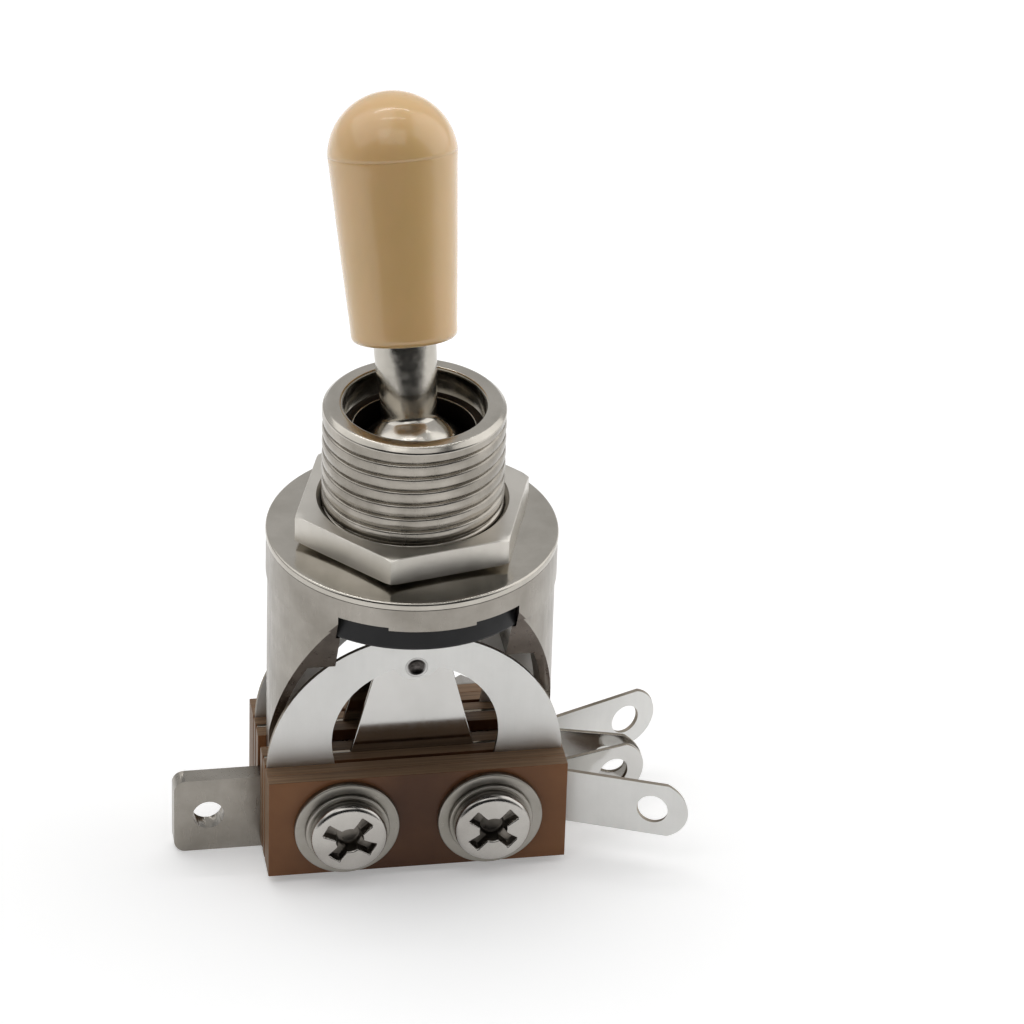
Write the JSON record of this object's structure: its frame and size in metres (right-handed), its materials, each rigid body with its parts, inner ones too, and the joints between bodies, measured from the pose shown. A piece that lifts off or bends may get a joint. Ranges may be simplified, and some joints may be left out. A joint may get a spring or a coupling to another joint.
{
  "type": "guitar pickup selector switch",
  "caption": "Open-frame selector toggle switch with a capped bat lever, threaded panel bushing with nut, and arched leaf springs clamped between insulating plates.",
  "frame": {"origin": "on the threaded bushing's axis, in the plane of the flange face that meets the panel", "axes": "+Z out of the panel along the bushing, -Y is the front of the stack, where the screw heads are, +X is the side with the four leaf lugs"},
  "size_m": [0.0337, 0.0208, 0.0518],
  "materials": {
    "bright_nickel": "polished nickel plate",
    "satin_nickel": "satin nickel plate",
    "leaf_metal": "satin silver-coloured spring bronze",
    "contact_silver": "dull silver plate",
    "screw_steel": "bright plated",
    "phenolic": "satin brown paper laminate",
    "fibre_sleeve": "matte",
    "black_nylon": "satin moulded",
    "cream_plastic": "polished"
  },
  "bodies": {
    "housing": {"threaded_bushing": "bright_nickel", "switch_frame": "satin_nickel", "panel_nut": "bright_nickel", "ball_cup": "black_nylon", "lever_guide": "black_nylon", "front_inner_plate": "phenolic", "front_tongue_leaf": "leaf_metal", "front_fixed_contact": "contact_silver", "front_middle_plate": "phenolic", "front_arch_leaf": "leaf_metal", "front_spacer_plate": "phenolic", "front_cover_plate": "phenolic", "rear_inner_plate": "phenolic", "rear_tongue_leaf": "leaf_metal", "rear_fixed_contact": "contact_silver", "rear_middle_plate": "phenolic", "rear_arch_leaf": "leaf_metal", "rear_spacer_plate": "phenolic", "rear_cover_plate": "phenolic", "left_screw": "screw_steel", "left_front_washer": "screw_steel", "left_lock_washer": "screw_steel", "left_rear_washer": "screw_steel", "left_rear_nut": "screw_steel", "left_sleeve": "fibre_sleeve", "right_screw": "screw_steel", "right_front_washer": "screw_steel", "right_lock_washer": "screw_steel", "right_rear_washer": "screw_steel", "right_rear_nut": "screw_steel", "right_sleeve": "fibre_sleeve"},
    "lever": {"lever": "bright_nickel", "lever_tip": "cream_plastic", "lever_nose": "black_nylon"},
    "front_spring": {"front_moving_contact": "contact_silver"},
    "rear_spring": {"rear_moving_contact": "contact_silver"}
  },
  "joints": [
    {"name": "lever_tilt", "type": "hinge", "parent": "housing", "child": "lever", "pos_m": [0, 0, 0.00385], "axis": [0.9962, 0.0872, 0], "range_deg": [0, 40]},
    {"name": "front_leaf_bend", "type": "hinge", "parent": "housing", "child": "front_spring", "pos_m": [0, -0.003, -0.01262], "axis": [1, 0, 0], "range_deg": [-4.02, 0], "deforming": ["front_arch_leaf"]},
    {"name": "rear_leaf_bend", "type": "hinge", "parent": "housing", "child": "rear_spring", "pos_m": [0, 0.003, -0.01262], "axis": [1, 0, 0], "range_deg": [-4.02, 0], "deforming": ["rear_arch_leaf"]}
  ],
  "couplings": [
    {"joint": "front_leaf_bend", "follows": "lever_tilt", "ratio": -0.10017},
    {"joint": "rear_leaf_bend", "follows": "lever_tilt", "ratio": -0.10017}
  ]
}
